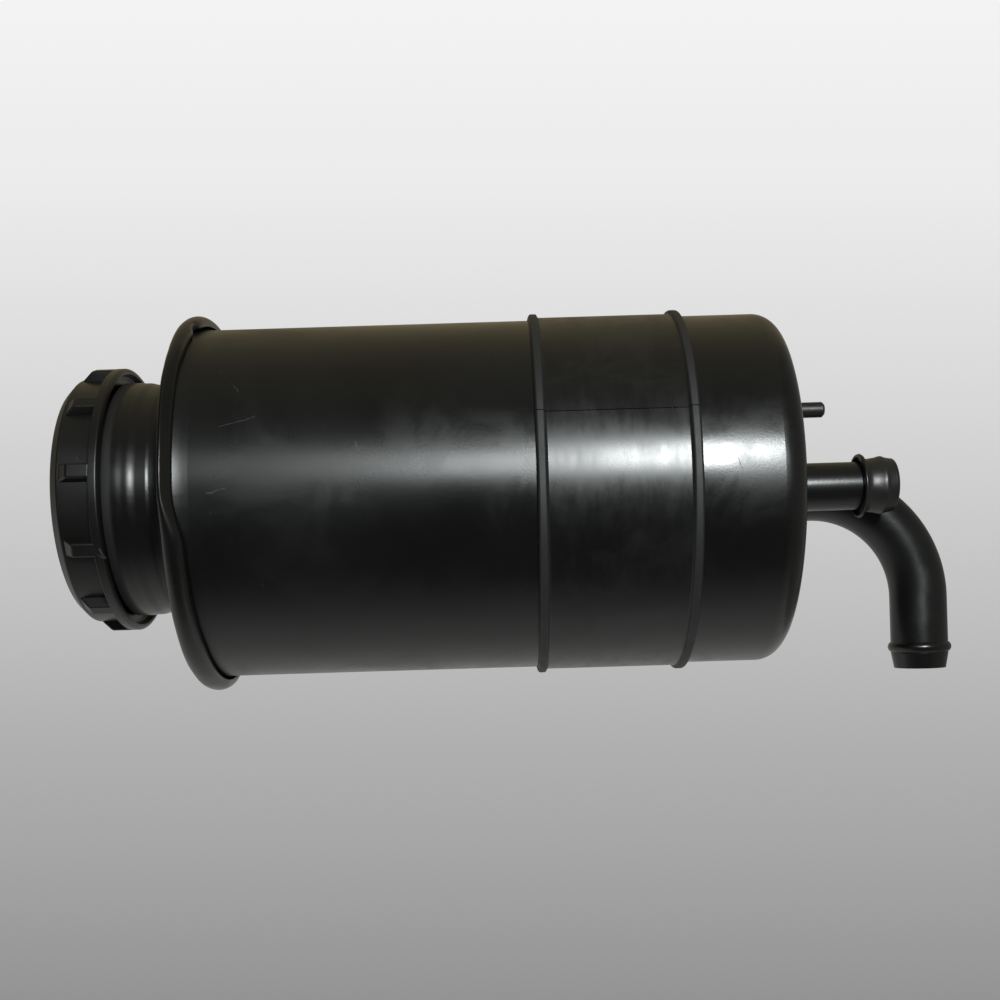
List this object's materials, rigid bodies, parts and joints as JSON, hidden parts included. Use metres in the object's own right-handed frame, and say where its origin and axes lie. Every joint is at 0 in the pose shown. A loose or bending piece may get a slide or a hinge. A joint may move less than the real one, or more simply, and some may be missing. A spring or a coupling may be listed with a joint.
{
  "type": "power steering reservoir",
  "caption": "Upright steel fluid reservoir with a ribbed screw filler cap, an inner filter element, a rubber clamp sleeve, a straight and a bent hose tail and a locating pin.",
  "frame": {"origin": "on the can's axis, halfway along the clamp sleeve", "axes": "+Z along the can's axis towards the filler cap, -X the way the bent hose tail points"},
  "size_m": [0.1306, 0.1296, 0.3083],
  "materials": {
    "can_paint": "satin black paint",
    "cover_paint": "satin black paint",
    "pipe_paint": "gloss black paint",
    "sleeve_rubber": "smooth rubber",
    "cap_plastic": "moulded",
    "transit_vinyl": "soft matte",
    "seal_rubber": "moulded rubber",
    "spring_steel": "drawn wire",
    "plated_sheet": "tin plated",
    "filter_paper": "pleated paper"
  },
  "bodies": {
    "tank": {"can_body": "can_paint", "top_cover": "cover_paint", "clamp_sleeve": "sleeve_rubber", "return_pipe": "pipe_paint", "suction_pipe": "pipe_paint", "locating_pin": "pipe_paint", "hold_down_spring": "spring_steel", "filter_lower_cap": "plated_sheet", "filter_upper_cap": "plated_sheet", "filter_grommet": "seal_rubber", "filter_core": "plated_sheet", "filter_paper": "filter_paper", "bypass_cage": "plated_sheet", "bypass_spring": "spring_steel"},
    "pressure_plate": {"spring_plate": "plated_sheet"},
    "filler_cap": {"screw_cap": "cap_plastic", "cap_gasket": "seal_rubber", "dipstick": "plated_sheet"},
    "relief_disc": {"bypass_disc": "plated_sheet"},
    "transit_cap": {"return_dust_cap": "transit_vinyl"}
  },
  "joints": [
    {"name": "cap_lift", "type": "slide", "parent": "tank", "child": "pressure_plate", "axis": [0, 0, 1], "range_m": [0, 0.0136], "deforming": ["hold_down_spring"]},
    {"name": "cap_turn", "type": "hinge", "parent": "pressure_plate", "child": "filler_cap", "pos_m": [0.0026, 0, 0.1767], "axis": [0, 0, 1], "range_deg": [0, 810]},
    {"name": "relief_lift", "type": "slide", "parent": "tank", "child": "relief_disc", "axis": [0, 0, 1], "range_m": [0, 0.004], "stiffness_N_per_m": 800, "springref_m": -0.004, "deforming": ["bypass_spring"]},
    {"name": "transit_cap_pull", "type": "slide", "parent": "tank", "child": "transit_cap", "axis": [0, 0, -1], "range_m": [0, 0.045]}
  ],
  "couplings": [
    {"joint": "cap_lift", "follows": "cap_turn", "m_per_rad": 0.00095493}
  ]
}
